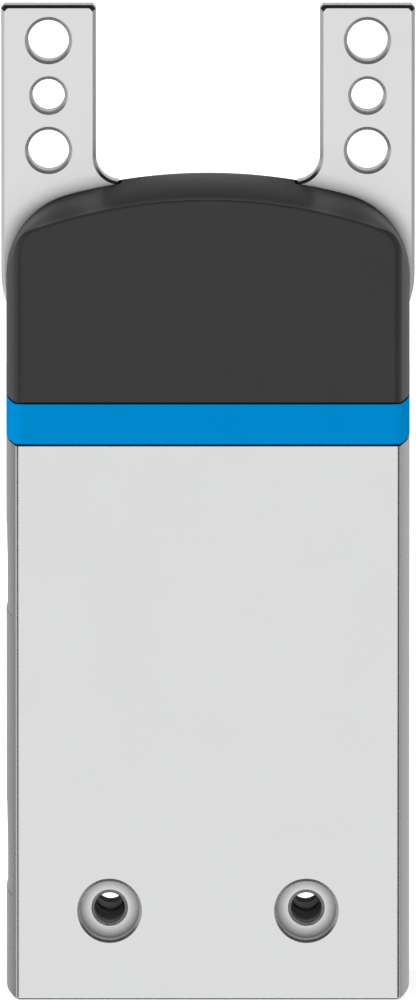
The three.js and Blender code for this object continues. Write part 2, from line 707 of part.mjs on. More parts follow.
const lowerStop = [BORE_FLOOR, PISTON.bottom - STOP_GAP];
const upperStop = [PISTON.top + STROKE + STOP_GAP, GUIDE.bottom];
addPiece('lower_bumper', ring(BUMPER.lower.inner, BUMPER.lower.outer, lowerStop), 'rubber');
addPiece('upper_bumper', ring(BUMPER.upper.inner, BUMPER.upper.outer, upperStop), 'rubber');
addPiece('rod_guide', rodGuide(), 'anodised');
const rodFit = ROD.radius + ROD.fitGap;
addPiece('rod_bush', ring(rodFit, ROD_BUSH.outer, [ROD_BUSH.bottom, ROD_BUSH.top]), 'slidingPlastic');
addPiece('rod_seal', ring(rodFit, ROD_SEAL.outer, [ROD_SEAL.bottom, ROD_SEAL.top]), 'rubber');
const oringGroove = { radius: GUIDE.groove, ...GUIDE_GROOVE };
addPiece('rod_guide_oring', grooveRing(oringGroove, GUIDE_SEAT.radius - RUNNING_GAP), 'rubber');
addPiece('retaining_ring', retainingRing(), 'steel');

dowelPoints().forEach((point, i) => {
  const pin = rodZ(DOWEL.radius, point, [DOWEL.bottom, DOWEL.top], COARSE);
  addPiece(`dowel_pin_${SIDES[i][0]}`, pin, 'steel');
});

export default gripper;
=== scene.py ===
"""Pneumatic radial gripper: the finished look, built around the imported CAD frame.

Sizes are millimetres, in the CAD frame: +Z up, the front is -Y, and the origin is
the middle of the underside. Meshes are scaled to metres as they are made. Places
come from the CAD nodes' boxes; only details that CAD leaves out have sizes here.
"""

import json
import math

import bmesh
import bpy
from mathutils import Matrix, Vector


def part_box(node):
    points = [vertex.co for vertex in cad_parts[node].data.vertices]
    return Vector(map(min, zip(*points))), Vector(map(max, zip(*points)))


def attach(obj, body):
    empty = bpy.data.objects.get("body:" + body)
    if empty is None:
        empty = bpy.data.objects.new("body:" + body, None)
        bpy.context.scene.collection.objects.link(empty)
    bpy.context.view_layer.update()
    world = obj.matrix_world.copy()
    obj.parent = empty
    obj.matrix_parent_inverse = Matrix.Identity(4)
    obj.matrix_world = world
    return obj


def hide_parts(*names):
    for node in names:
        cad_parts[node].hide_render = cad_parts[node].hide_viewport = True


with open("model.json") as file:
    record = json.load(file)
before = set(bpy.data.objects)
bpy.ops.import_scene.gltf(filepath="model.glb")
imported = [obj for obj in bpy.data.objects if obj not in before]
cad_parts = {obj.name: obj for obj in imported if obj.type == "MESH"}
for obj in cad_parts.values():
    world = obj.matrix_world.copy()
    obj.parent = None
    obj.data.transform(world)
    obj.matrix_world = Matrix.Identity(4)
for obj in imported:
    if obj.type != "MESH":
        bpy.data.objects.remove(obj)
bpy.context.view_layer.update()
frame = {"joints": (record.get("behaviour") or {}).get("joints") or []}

MM = 0.001
SIDES = (("left", -1), ("right", 1))
DEPTHS = (("front", -1), ("rear", 1))


def cad_box(node):
    """Lowest and highest corner of a CAD node, in millimetres."""
    low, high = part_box(node)
    return low / MM, high / MM


def hinge_centre(name):
    """The (x, z) of a jaw's hinge axis, in millimetres."""
    joint = next(j for j in frame["joints"] if j["name"] == name)
    return joint["pos_m"][0] / MM, joint["pos_m"][2] / MM


# ------------------------------------------------------------------ dimensions

HOUSING_LOW, HOUSING_HIGH = cad_box("housing")
BAND_LOW, BAND_HIGH = cad_box("spacer_band")
COVER_LOW, COVER_HIGH = cad_box("cover")
BLOCK_LOW, BLOCK_HIGH = cad_box("bearing_block")
JAW_LOW, JAW_HIGH = cad_box("left_jaw")

HALF_WIDTH = HOUSING_HIGH.x
HALF_DEPTH = HOUSING_HIGH.y
SIDE_RADIUS = 96.0
METAL_CORNER = 0.5
MOULDED_CORNER = 0.9

COVER_WALL = 1.8
JOINT_GAP = 0.14
JOINT_DEPTH = 0.5
DOME_CENTRE_Z = 29.7
DOME_RADIUS = 60.0
SHOULDER_MIDDLE = 9.5
SHOULDER_FRONT = 1.9

PIVOT_X, PIVOT_Z = hinge_centre("right_jaw_swing")
STROKE = next(j for j in frame["joints"] if j["name"] == "piston_slide")["range_m"][1] / MM
DRIVER_ARM = 5.0
PIN_HOLE = 2.05
JAW_GAP_HALF = 2.8
JAW_CHAMFER = 0.36

ROUND_SIDES = 96
SMALL_SIDES = 64


# ------------------------------------------------------------- mesh, by points

def arc(centre, radius, start, end, steps):
    """Points along an arc, both ends included; angles in degrees."""
    points = []
    for i in range(steps + 1):
        angle = math.radians(start + (end - start) * i / steps)
        points.append((centre[0] + radius * math.cos(angle), centre[1] + radius * math.sin(angle)))
    return points


def mesh_object(name, vertices, faces):
    mesh = bpy.data.meshes.new(name)
    mesh.from_pydata([Vector(v) * MM for v in vertices], [], faces)
    obj = bpy.data.objects.new(name, mesh)
    bpy.context.scene.collection.objects.link(obj)
    work = bmesh.new()
    work.from_mesh(mesh)
    bmesh.ops.remove_doubles(work, verts=work.verts, dist=1e-8)
    bmesh.ops.recalc_face_normals(work, faces=work.faces)
    work.to_mesh(mesh)
    work.free()
    return obj


def loft(name, loops):
    """A closed solid through closed loops of points, with both ends capped."""
    count = len(loops[0])
    vertices = [point for loop in loops for point in loop]
    faces = [tuple(range(count)), tuple(range(len(vertices) - count, len(vertices)))]
    for row in range(len(loops) - 1):
        for i in range(count):
            j = (i + 1) % count
            below, above = row * count, (row + 1) * count
            faces.append((below + i, below + j, above + j, above + i))
    return mesh_object(name, vertices, faces)


def edge_levels(low, high, low_edge, high_edge, steps=4):
    """Heights and insets of a prism whose two ends are rounded off."""
    levels = []
    for i in range(steps + 1):
        turn = math.pi / 2 * i / steps
        levels.append((low + low_edge * (1 - math.cos(turn)), low_edge * (1 - math.sin(turn))))
    for i in range(steps, -1, -1):
        turn = math.pi / 2 * i / steps
        levels.append((high - high_edge * (1 - math.cos(turn)), high_edge * (1 - math.sin(turn))))
    return levels


def with_shadow_gaps(levels, height, depth):
    """Steps a prism in at both ends, to leave a fine dark joint line there."""
    low, high = levels[0][0], levels[-1][0]
    middle = (low + high) / 2
    lower = [(z + height, inset) for z, inset in levels if z < middle]
    upper = [(z - height, inset) for z, inset in levels if z >= middle]
    foot = [(low, depth), (low + height, depth)]
    top = [(high - height, depth), (high, depth)]
    return foot + lower + upper + top


def column(name, outline, levels):
    """A prism along Z; outline(inset) gives its (x, y) loop."""
    return loft(name, [[(x, y, z) for x, y in outline(inset)] for z, inset in levels])


def plate(name, outline, levels):
    """A prism along Y; outline(inset) gives its (x, z) loop."""
    return loft(name, [[(x, y, z) for x, z in outline(inset)] for y, inset in levels])


def flat_levels(low, high, edge=0.0):
    """Heights and insets of a prism with a straight chamfer at both ends."""
    if edge == 0:
        return [(low, 0.0), (high, 0.0)]
    return [(low, edge), (low + edge, 0.0), (high - edge, 0.0), (high, edge)]


def circle_outline(centre, radius, sides=ROUND_SIDES):
    return lambda inset: arc(centre, radius - inset, 0, 360, sides)[:-1]


def rectangle_outline(low, high, corner=0.0):
    """A rectangle with rounded corners, as a function of its inset."""
    def outline(inset):
        x0, y0, x1, y1 = low[0] + inset, low[1] + inset, high[0] - inset, high[1] - inset
        if corner <= inset:
            return [(x0, y0), (x1, y0), (x1, y1), (x0, y1)]
        r = corner - inset
        return (
            arc((x1 - r, y0 + r), r, -90, 0, 6)
            + arc((x1 - r, y1 - r), r, 0, 90, 6)
            + arc((x0 + r, y1 - r), r, 90, 180, 6)
            + arc((x0 + r, y0 + r), r, 180, 270, 6)
        )
    return outline


def box(name, low, high, edge=0.0):
    outline = rectangle_outline(low[:2], high[:2])
    return column(name, outline, flat_levels(low[2], high[2], edge))


AXES = {
    "x": lambda along, u, v, at: (along, at[1] + u, at[2] + v),
    "y": lambda along, u, v, at: (at[0] + u, along, at[2] + v),
    "z": lambda along, u, v, at: (at[0] + u, at[1] + v, along),
}


def turned(name, profile, axis="z", at=(0, 0, 0), sides=ROUND_SIDES):
    """A solid of revolution. The profile lists (radius, along) and either starts
    and ends on the axis or closes on itself."""
    point_on = AXES[axis]
    closed = profile[0] == profile[-1]
    stations = profile[:-1] if closed else profile
    vertices, rings = [], []
    for radius, along in stations:
        if radius == 0:
            rings.append([len(vertices)] * sides)
            vertices.append(point_on(along, 0, 0, at))
            continue
        rings.append(list(range(len(vertices), len(vertices) + sides)))
        for i in range(sides):
            angle = 2 * math.pi * i / sides
            across, up = radius * math.cos(angle), radius * math.sin(angle)
            vertices.append(point_on(along, across, up, at))
    pairs = list(zip(rings, rings[1:]))
    if closed:
        pairs.append((rings[-1], rings[0]))
    faces = []
    for lower, upper in pairs:
        for i in range(sides):
            j = (i + 1) % sides
            corners = dict.fromkeys((lower[i], lower[j], upper[j], upper[i]))
            faces.append(tuple(corners))
    return mesh_object(name, vertices, faces)


def ring_profile(inner, outer, low, high, edge=0.1):
    """The section of a plain ring with small chamfers on its four edges."""
    return [
        (inner + edge, low), (outer - edge, low), (outer, low + edge), (outer, high - edge),
        (outer - edge, high), (inner + edge, high), (inner, high - edge), (inner, low + edge),
        (inner + edge, low),
    ]


def pin_profile(radius, low, high, edge=0.15):
    return [(0, low), (radius - edge, low), (radius, low + edge), (radius, high - edge),
            (radius - edge, high), (0, high)]


def thread_profile(core, crest, start, end, pitch):
    """A thread's section between two stations, running from start to end."""
    hand = 1 if end > start else -1
    turns = int(abs(end - start) / pitch)
    points = []
    for i in range(turns):
        base = start + hand * pitch * i
        points += [(core, base), (core, base + hand * pitch * 0.2)]
        points += [(crest, base + hand * pitch * 0.5), (crest, base + hand * pitch * 0.7)]
    return points + [(core, start + hand * pitch * turns)]


# ----------------------------------------------------------- joining, cutting

def apply_modifiers(obj):
    graph = bpy.context.evaluated_depsgraph_get()
    mesh = bpy.data.meshes.new_from_object(obj.evaluated_get(graph))
    old = obj.data
    obj.modifiers.clear()
    obj.data = mesh
    mesh.name = obj.name
    bpy.data.meshes.remove(old)


def combine(obj, tools, operation):
    for tool in tools:
        step = obj.modifiers.new("combine", "BOOLEAN")
        step.operation = operation
        step.solver = "EXACT"
        step.object = tool
    apply_modifiers(obj)
    for tool in tools:
        mesh = tool.data
        bpy.data.objects.remove(tool)
        bpy.data.meshes.remove(mesh)
    return obj


def cut(obj, *tools):
    return combine(obj, tools, "DIFFERENCE")


def join(obj, *tools):
    return combine(obj, tools, "UNION")


def finish_surface(obj, sharp_angle=28):
    """Smooth faces, with edges kept crisp where the surface turns sharply."""
    work = bmesh.new()
    work.from_mesh(obj.data)
    bmesh.ops.remove_doubles(work, verts=work.verts, dist=2e-7)
    bmesh.ops.dissolve_degenerate(work, edges=work.edges, dist=1e-7)
    for face in work.faces:
        face.smooth = True
    limit = math.radians(sharp_angle)
    for edge in work.edges:
        edge.smooth = len(edge.link_faces) == 2 and edge.calc_face_angle() < limit
    work.to_mesh(obj.data)
    work.free()
    weighted = obj.modifiers.new("weighted normals", "WEIGHTED_NORMAL")
    weighted.keep_sharp = True


# ------------------------------------------------------------------- materials

def new_material(name, color, roughness, metallic):
    material = bpy.data.materials.new(name)
    material.use_nodes = True
    nodes = material.node_tree.nodes
    shader = nodes["Principled BSDF"]
    shader.inputs["Base Color"].default_value = (*color, 1)
    shader.inputs["Roughness"].default_value = roughness
    shader.inputs["Metallic"].default_value = metallic
    return material, shader


def grain_node(material, scale, stretch=(1, 1, 1), detail=3.0):
    """Noise in the piece's own coordinates; scale is features per metre."""
    nodes, links = material.node_tree.nodes, material.node_tree.links
    coordinates = nodes.new("ShaderNodeTexCoord")
    mapping = nodes.new("ShaderNodeMapping")
    mapping.inputs["Scale"].default_value = stretch
    noise = nodes.new("ShaderNodeTexNoise")
    noise.inputs["Scale"].default_value = scale
    noise.inputs["Detail"].default_value = detail
    links.new(coordinates.outputs["Object"], mapping.inputs["Vector"])
    links.new(mapping.outputs["Vector"], noise.inputs["Vector"])
    return noise


def vary_color(material, shader, noise, color, amount):
    """The base colour drifts a little, by amount each way, with the noise."""
    nodes, links = material.node_tree.nodes, material.node_tree.links
    ramp = nodes.new("ShaderNodeValToRGB")
    ramp.color_ramp.elements[0].position = 0.35
    ramp.color_ramp.elements[1].position = 0.65
    ramp.color_ramp.elements[0].color = (*[c * (1 - amount) for c in color], 1)
    ramp.color_ramp.elements[1].color = (*[min(c * (1 + amount), 1) for c in color], 1)
    links.new(noise.outputs["Fac"], ramp.inputs["Fac"])
    links.new(ramp.outputs["Color"], shader.inputs["Base Color"])


def vary_roughness(material, shader, noise, low, high):
    nodes, links = material.node_tree.nodes, material.node_tree.links
    spread = nodes.new("ShaderNodeMapRange")
    spread.inputs["From Min"].default_value = 0.3
    spread.inputs["From Max"].default_value = 0.7
    spread.inputs["To Min"].default_value = low
    spread.inputs["To Max"].default_value = high
    links.new(noise.outputs["Fac"], spread.inputs["Value"])
    links.new(spread.outputs["Result"], shader.inputs["Roughness"])


def bump_from(material, shader, noise, strength, depth):
    """depth is the height of the texture in metres."""
    nodes, links = material.node_tree.nodes, material.node_tree.links
    bump = nodes.new("ShaderNodeBump")
    bump.inputs["Strength"].default_value = strength
    bump.inputs["Distance"].default_value = depth
    links.new(noise.outputs["Fac"], bump.inputs["Height"])
    links.new(bump.outputs["Normal"], shader.inputs["Normal"])


def surface(name, color, roughness, metallic, grain, drift=0.03, bump=(0.2, 4e-6), stretch=(1, 1, 1)):
    """A material with a fine grain that sets bump and gloss, and a slow drift of colour.

    roughness is (low, high); grain is features per metre; bump is (strength, depth)."""
    material, shader = new_material(name, color, roughness[0], metallic)
    fine = grain_node(material, grain, stretch)
    slow = grain_node(material, 90, (1, 1, 1), 2.0)
    vary_color(material, shader, slow, color, drift)
    vary_roughness(material, shader, fine, *roughness)
    bump_from(material, shader, fine, *bump)
    return material


def set_gloss(material, level):
    shader = material.node_tree.nodes["Principled BSDF"]
    shader.inputs["Specular IOR Level"].default_value = level


def openness_share(material, reach, closed, opened, floor, own_shape_only):
    """How open a point is: from floor where its openness is at most closed, up to 1
    where it is at least opened. reach is how far it looks, in metres."""
    nodes, links = material.node_tree.nodes, material.node_tree.links
    openness = nodes.new("ShaderNodeAmbientOcclusion")
    openness.samples = 12
    openness.only_local = own_shape_only
    openness.inputs["Distance"].default_value = reach
    share = nodes.new("ShaderNodeMapRange")
    share.inputs["From Min"].default_value = closed
    share.inputs["From Max"].default_value = opened
    share.inputs["To Min"].default_value = floor
    share.inputs["To Max"].default_value = 1.0
    links.new(openness.outputs["AO"], share.inputs["Value"])
    return share.outputs["Result"]


def paint_recess_shade(material, reach, closed, opened, floor, own_shape_only):
    """Painted shade: recesses and inner corners get a darker base colour where little around them is
    open.
    Where own_shape_only is false, pieces close by shut a point in too, so their shade is painted on as
    well."""
    nodes, links = material.node_tree.nodes, material.node_tree.links
    shader = nodes["Principled BSDF"]
    plain = shader.inputs["Base Color"].links[0].from_socket
    share = openness_share(material, reach, closed, opened, floor, own_shape_only)
    shade = nodes.new("ShaderNodeVectorMath")
    shade.operation = "SCALE"
    links.new(plain, shade.inputs["Vector"])
    links.new(share, shade.inputs["Scale"])
    links.new(shade.outputs["Vector"], shader.inputs["Base Color"])


def dull_recesses(material, reach, closed, opened, own_shape_only):
    """Recesses lose their gloss: they turn fully matt where they are closed."""
    nodes, links = material.node_tree.nodes, material.node_tree.links
    shader = nodes["Principled BSDF"]
    plain = shader.inputs["Roughness"].links[0].from_socket
    mix = nodes.new("ShaderNodeMix")
    share = openness_share(material, reach, closed, opened, 0.0, own_shape_only)
    links.new(share, mix.inputs["Factor"])
    mix.inputs["A"].default_value = 1.0
    links.new(plain, mix.inputs["B"])
    links.new(mix.outputs["Result"], shader.inputs["Roughness"])


def make_materials():
    ground = (1, 1, 14)
    turned_marks = (1, 1, 25)
    return {
        "anodised": surface("anodised_aluminium", (0.755, 0.759, 0.763), (0.26, 0.31), 1.0, 5200, 0.006,
                            (0.035, 2e-6)),
        "milled": surface("milled_aluminium", (0.83, 0.835, 0.84), (0.26, 0.36), 1.0, 1500, 0.015,
                          (0.2, 4e-6), (1, 8, 1)),
        "jaw": surface("jaw_steel", (0.757, 0.757, 0.752), (0.20, 0.27), 1.0, 1400, 0.010,
                       (0.05, 2e-6), ground),
        "steel": surface("ground_steel", (0.62, 0.63, 0.64), (0.16, 0.26), 1.0, 1800, 0.02,
                         (0.1, 3e-6), turned_marks),
        "dark_steel": surface("hardened_steel", (0.20, 0.205, 0.21), (0.30, 0.42), 0.9, 2600, 0.05,
                              (0.2, 4e-6)),
        "cover": surface("dark_plastic", (0.0185, 0.0200, 0.0192), (0.36, 0.44), 0.0, 4200, 0.04,
                         (0.35, 12e-6)),
        "band": surface("blue_plastic", (0.0, 0.174, 0.430), (0.36, 0.46), 0.0, 3600, 0.02,
                        (0.15, 6e-6)),
        "bearing": surface("sliding_plastic", (0.50, 0.42, 0.30), (0.5, 0.62), 0.0, 3000, 0.06,
                           (0.3, 8e-6)),
        "rubber": surface("black_rubber", (0.018, 0.018, 0.018), (0.55, 0.7), 0.0, 2200, 0.1,
                          (0.3, 8e-6)),
        "magnet": surface("magnet_ring", (0.07, 0.07, 0.075), (0.4, 0.5), 0.3, 2600, 0.06,
                          (0.3, 8e-6)),
        "brass": surface("insert_brass", (0.68, 0.50, 0.20), (0.22, 0.34), 1.0, 1800, 0.04,
                         (0.15, 4e-6), turned_marks),
    }


MATERIAL = make_materials()
set_gloss(MATERIAL["cover"], 0.28)
set_gloss(MATERIAL["band"], 0.0)

# Painted shade: the shades below darken the base colour in recesses, inner corners and gaps,
# and on the cover, band and jaws also where pieces close by shut them in. On the housing,
# the first shade takes in every inner corner, and the other two only the bottoms of the bores.
for key, shade in (
    ("anodised", dict(reach=0.0018, closed=0.25, opened=0.90, floor=0.08, own_shape_only=True)),
    ("anodised", dict(reach=0.0060, closed=0.04, opened=0.28, floor=0.55, own_shape_only=True)),
    ("cover", dict(reach=0.0140, closed=0.30, opened=0.95, floor=0.10, own_shape_only=False)),
    ("band", dict(reach=0.0008, closed=0.30, opened=0.95, floor=0.05, own_shape_only=False)),
    ("jaw", dict(reach=0.0024, closed=0.25, opened=0.90, floor=0.15, own_shape_only=False)),
):
    paint_recess_shade(MATERIAL[key], **shade)
dull_recesses(MATERIAL["anodised"], reach=0.0060, closed=-0.20, opened=0.30, own_shape_only=True)
dull_recesses(MATERIAL["cover"], reach=0.0140, closed=0.40, opened=0.95, own_shape_only=False)


def place(obj, body, material, slot, *nodes):
    """Gives a finished piece its material and its CAD body, in place of CAD nodes."""
    obj.data.materials.clear()
    obj.data.materials.append(MATERIAL[material])
    finish_surface(obj)
    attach(obj, body)
    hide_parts(*nodes)
    return obj


# -------------------------------------------------------------- shared outlines

def side_x(y, inset=0.0):
    """Half the body's width at a given depth."""
    return HALF_WIDTH - SIDE_RADIUS + math.sqrt((SIDE_RADIUS - inset) ** 2 - y * y)


def plan_outline(corner, shrink=0.0):
    """The body's plan: flat front and back, gently bulged narrow sides."""
    def outline(inset):
        inset += shrink
        radius = max(corner - inset, 0.05)
        rise = HALF_DEPTH - inset - radius
        reach = math.sqrt((SIDE_RADIUS - inset - radius) ** 2 - rise ** 2)
        centre_x = HALF_WIDTH - SIDE_RADIUS
        tilt = math.degrees(math.atan2(rise, reach))
        corner_x = centre_x + reach
        side = SIDE_RADIUS - inset
        return (
            arc((centre_x, 0), side, -tilt, tilt, 40)
            + arc((corner_x, rise), radius, tilt, 90, 8)[1:]
            + arc((-corner_x, rise), radius, 90, 180 - tilt, 8)
            + arc((-centre_x, 0), side, 180 - tilt, 180 + tilt, 40)[1:]
            + arc((-corner_x, -rise), radius, 180 + tilt, 270, 8)[1:]
            + arc((corner_x, -rise), radius, 270, 360 - tilt, 8)[:-1]
        )
    return outline


# ------------------------------------------------------------------ fixed parts

TIE_LOW, TIE_HIGH = cad_box("tie_screw_right_rear")
TIE_X = (TIE_LOW.x + TIE_HIGH.x) / 2
TIE_Y = (TIE_LOW.y + TIE_HIGH.y) / 2
TIE_HEAD = (TIE_HIGH.x - TIE_LOW.x) / 2
TIE_SEAT = 3.0
DOWEL_LOW, DOWEL_HIGH = cad_box("dowel_pin_right")
DOWEL_X = (DOWEL_LOW.x + DOWEL_HIGH.x) / 2
DOWEL_Y = (DOWEL_LOW.y + DOWEL_HIGH.y) / 2
DOWEL_POINTS = ((-DOWEL_X, -DOWEL_Y), (DOWEL_X, DOWEL_Y))
TIE_POINTS = [(sx * TIE_X, sy * TIE_Y) for _, sx in SIDES for _, sy in DEPTHS]

HOLE_X = 10.8
HOLE_Z = 9.8
PORT_HEIGHTS = (15.9, 46.75)
BORE_RADIUS = 12.5
BORE_FLOOR = 13.3
SEAT_RADIUS = 13.0
SEAT_Z = 50.5
RING_GROOVE = {"radius": 13.8, "low": 58, "high": 59.1}
M4 = {"core": 1.62, "crest": 1.9, "pitch": 0.7}
M5 = {"core": 2.1, "crest": 2.42, "pitch": 0.8}
TIE_HOLE = 1.4
DOWEL_HOLE = 1.03


def drill(point, radius, low, high):
    """A plain round tool, upright at a point of the plan."""
    profile = [(0, low), (radius, low), (radius, high), (0, high)]
    return turned("tool", profile, at=(*point, 0), sides=SMALL_SIDES)


def tie_hole_tool(point, low, high):
    return drill(point, TIE_HOLE, low, high)


def dowel_hole_tool(point, low, high):
    return drill(point, DOWEL_HOLE, low, high)


def mounting_hole_tool(x):
    """A through hole with a threaded, counterbored end at the front and the rear."""
    face, floor, mouth = HALF_DEPTH, HALF_DEPTH - 3, HALF_DEPTH - 3.3
    rim, wall = 3.55, 3.25
    half = [(0, face + 1), (rim + 1, face + 1), (wall, face + wall - rim), (wall, floor)]
    half += [(2.02, floor), (1.7, mouth)]
    half += thread_profile(M4["core"], M4["crest"], mouth - 0.3, 6.5, M4["pitch"])
    profile = half + [(radius, -along) for radius, along in reversed(half)]
    return turned("tool", profile, "y", (x, 0, HOLE_Z))


def base_hole_tool(x):
    """A threaded hole in the underside, with a counterbore for a centring sleeve."""
    profile = [(0, -1), (4.6, -1), (3.52, 0.08), (3.52, 1.5), (2.02, 1.5), (1.7, 1.8)]
    profile += thread_profile(M4["core"], M4["crest"], 2.1, 6.4, M4["pitch"])
    profile += [(M4["core"], HOLE_Z), (0, HOLE_Z)]
    return turned("tool", profile, "z", (x, 0, 0))


def port_tool(z):
    """An M5 port: spot face, chamfered thread and a plain way into the cylinder."""
    outside, spot = -HALF_WIDTH - 1, -21.9
    profile = [(0, outside), (3.9, outside), (3.9, spot), (2.5, spot), (2.25, spot + 0.3)]
    profile += thread_profile(M5["core"], M5["crest"], spot + 0.5, -16.5, M5["pitch"])
    profile += [(1.6, -16.2), (1.6, -BORE_RADIUS + 1), (0, -BORE_RADIUS + 1)]
    return turned("tool", profile, "x", (0, 0, z))


def port_recess_tool(z):
    """The shallow milled recess around a port, a little deeper at its lower end."""
    half_height, half_reach, outside, steps = 4.8, 12.3, HALF_WIDTH + 1, 24
    top, low = z + half_height, z - half_height
    loops = []
    for level, depth in ((top, 0.05), (low + 0.5, 0.14), (low, 0.05)):
        loop = []
        for i in range(steps + 1):
            y = -half_reach + 2 * half_reach * i / steps
            loop.append((-side_x(y) + depth, y, level))
        loop += [(-outside, half_reach, level), (-outside, -half_reach, level)]
        loops.append(loop)
    return loft("tool", loops)


def sensor_slot_tool():
    """The C-slot for a position sensor along the right narrow side."""
    def outline(inset):
        mouth, lip, centre, radius = 1.45, side_x(0), 20.0, 2.0
        start = math.degrees(math.asin(mouth / radius))
        round_part = arc((centre, 0), radius, start, 360 - start, 40)
        return round_part + [(lip - 0.12, -mouth), (lip + 0.9, -mouth - 1.02),
                             (lip + 0.9, mouth + 1.02), (lip - 0.12, mouth)]
    return column("tool", outline, [(HOUSING_LOW.z - 1, 0), (HOUSING_HIGH.z + 1, 0)])


def make_housing():
    levels = edge_levels(HOUSING_LOW.z, HOUSING_HIGH.z, 0.25, 0.1)
    body = column("housing_body", plan_outline(METAL_CORNER), levels)
    top = HOUSING_HIGH.z + 1
    groove, groove_low, groove_high = RING_GROOVE["radius"], RING_GROOVE["low"], RING_GROOVE["high"]
    bore = [
        (0, BORE_FLOOR), (BORE_RADIUS, BORE_FLOOR), (BORE_RADIUS, SEAT_Z), (SEAT_RADIUS, SEAT_Z),
        (SEAT_RADIUS, groove_low), (groove, groove_low), (groove, groove_high),
        (SEAT_RADIUS, groove_high), (SEAT_RADIUS, top), (0, top),
    ]
    cut(body, turned("tool", bore, sides=128))
    cut(body, *[port_recess_tool(z) for z in PORT_HEIGHTS])
    cut(body, *[port_tool(z) for z in PORT_HEIGHTS])
    cut(body, *[mounting_hole_tool(hand * HOLE_X) for _, hand in SIDES])
    cut(body, *[base_hole_tool(hand * HOLE_X) for _, hand in SIDES])
    head, mouth, seat = 2.45, 0.08, TIE_SEAT
    recess = [(0, -1), (head + 1, -1), (head, mouth), (head, seat)]
    recess += [(TIE_HOLE, seat), (TIE_HOLE, top), (0, top)]
    for point in TIE_POINTS:
        cut(body, turned("tool", recess, at=(*point, 0), sides=SMALL_SIDES))
    cut(body, *[dowel_hole_tool(point, 56.2, top) for point in DOWEL_POINTS])
    cut(body, sensor_slot_tool())
    return place(body, "body", "anodised", "anodised_aluminium", "housing")


def make_band():
    levels = edge_levels(BAND_LOW.z, BAND_HIGH.z, 0.12, 0.12)
    levels = with_shadow_gaps(levels, JOINT_GAP, JOINT_DEPTH)
    band = column("spacer_band_moulded", plan_outline(MOULDED_CORNER), levels)
    low, high = BAND_LOW.z - 1, BAND_HIGH.z + 1
    opening = 7.6
    cut(band, turned("tool", [(0, low), (opening, low), (opening, high), (0, high)]))
    cut(band, *[tie_hole_tool(point, low, high) for point in TIE_POINTS])
    cut(band, *[dowel_hole_tool(point, low, high) for point in DOWEL_POINTS])
    return place(band, "body", "band", "blue_plastic", "spacer_band")


# The cover is a pillow: a domed top that rolls over into the narrow sides, with
# a large shoulder at mid-depth that tightens towards the front and rear faces.

RIM_STEPS = 6
COVER_FOOT_EDGE = 0.12
BOSS_INNER = (14.6, 7.9)
BOSS_SPAN = (69.0, 75.6)
JAW_SLOT_LOW = 68.9
JAW_SLOT_INNER = 9.55
JAW_SLOT_HALF = 2.7
INSERT_BORE = 1.95


def pillow_section(y, inset, steps_side, steps_shoulder, steps_dome):
    """The (x, z, outward normal) points of the cover's outline at one depth,
    from the left shoulder's foot over the dome to the right one's."""
    side = side_x(y, inset)
    bulge = 1 - (y / (HALF_DEPTH - inset)) ** 2
    roundness = SHOULDER_FRONT + (SHOULDER_MIDDLE - SHOULDER_FRONT) * max(bulge, 0)
    shoulder = max(roundness - inset, 0.4)
    dome = math.sqrt((DOME_RADIUS - inset) ** 2 - y * y)
    centre_x = side - shoulder
    centre_z = DOME_CENTRE_Z + math.sqrt((dome - shoulder) ** 2 - centre_x ** 2)
    blend = math.acos(centre_x / (dome - shoulder))
    half = []
    for i in range(steps_shoulder):
        angle = blend * i / steps_shoulder
        half.append((centre_x + shoulder * math.cos(angle), centre_z + shoulder * math.sin(angle),
                     (math.cos(angle), math.sin(angle))))
    for i in range(steps_dome + 1):
        angle = blend + (math.pi / 2 - blend) * i / steps_dome
        half.append((dome * math.cos(angle), DOME_CENTRE_Z + dome * math.sin(angle),
                     (math.cos(angle), math.sin(angle))))
    foot = COVER_LOW.z
    sides = []
    for i in range(steps_side):
        z = foot + (centre_z - foot) * i / steps_side
        sides.append((side, z, (1.0, 0.0)))
    right = sides + half
    left = [(-x, z, (-nx, nz)) for x, z, (nx, nz) in right]
    return left + right[-2::-1]


def pillow(name, inset, foot, edge, depth_steps, steps=(6, 14, 24)):
    """The pillow as a closed solid; edge rounds off the front and rear faces'
    outline, more at the sides than at the top. With no edge it ends square."""
    half_depth = HALF_DEPTH - inset
    inner = half_depth - (MOULDED_CORNER if edge else 0)
    turns = [math.pi / 2 * i / RIM_STEPS for i in range(RIM_STEPS)] if edge else []
    depths = [(-half_depth, turn) for turn in turns]
    depths += [(-inner + 2 * inner * i / depth_steps, None) for i in range(depth_steps + 1)]
    depths += [(half_depth, turn) for turn in reversed(turns)]
    loops = []
    for depth, turn in depths:
        loop = []
        hand = -1 if depth < 0 else 1
        base = depth if turn is None else hand * inner
        for x, z, (nx, nz) in pillow_section(base, inset, *steps):
            y = depth
            if turn is not None:
                radius = edge + (MOULDED_CORNER - edge) * abs(nx)
                reach = radius * (1 - math.sin(turn))
                y = hand * (half_depth - radius * (1 - math.cos(turn)))
                x = side_shift(x, y, base, inset) - nx * reach
                z -= nz * reach
            loop.append((x, y, max(z, foot)))
        loop[0] = (loop[0][0], loop[0][1], foot)
        loop[-1] = (loop[-1][0], loop[-1][1], foot)
        loops.append(loop)
    return loft(name, loops)


def side_shift(x, y, base, inset):
    """Follows the bulge of the side as a point moves from one depth to another."""
    return x * side_x(y, inset) / side_x(base, inset)


def foot_trim_tool():
    """Takes a thin bevel off the cover's lower outside edge."""
    low = COVER_LOW.z
    outer = plan_outline(MOULDED_CORNER, -2.0)
    inner = plan_outline(MOULDED_CORNER)
    ring = column("tool", outer, [(low - 1, 0), (low + COVER_FOOT_EDGE, 0)])
    core = column("core", inner, [(low - 2, COVER_FOOT_EDGE), (low, COVER_FOOT_EDGE),
                                  (low + COVER_FOOT_EDGE, 0), (low + 1, 0)])
    return cut(ring, core)


